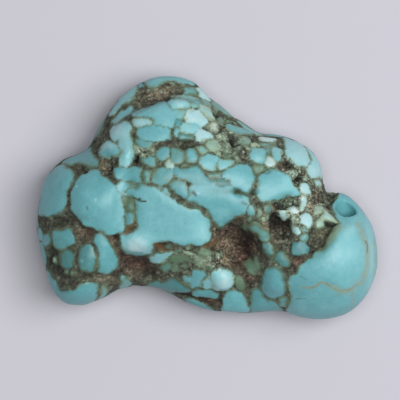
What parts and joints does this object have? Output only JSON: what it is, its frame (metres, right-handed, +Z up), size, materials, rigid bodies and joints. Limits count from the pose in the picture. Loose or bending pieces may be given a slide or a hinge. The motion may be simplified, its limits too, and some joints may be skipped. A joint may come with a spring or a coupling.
{
  "type": "turquoise nugget",
  "caption": "Tumbled nugget of cobbled turquoise in brown matrix: irregular lobed outline, satin skin, flat resting patch, drilled through an end lobe.",
  "frame": {"origin": "middle of the bounding box in X and Y, at the height of the flat patch the nugget rests on", "axes": "+Z up out of the cobbled top, +X toward the drilled end lobe along the longest side, +Y toward the third lobe"},
  "size_m": [0.0378, 0.027, 0.0138],
  "materials": {
    "turquoise": "tumbled, waxed satin polish on the turquoise, rough dull matrix in the hollows"
  },
  "bodies": {
    "root": {"nugget": "turquoise"}
  },
  "joints": []
}
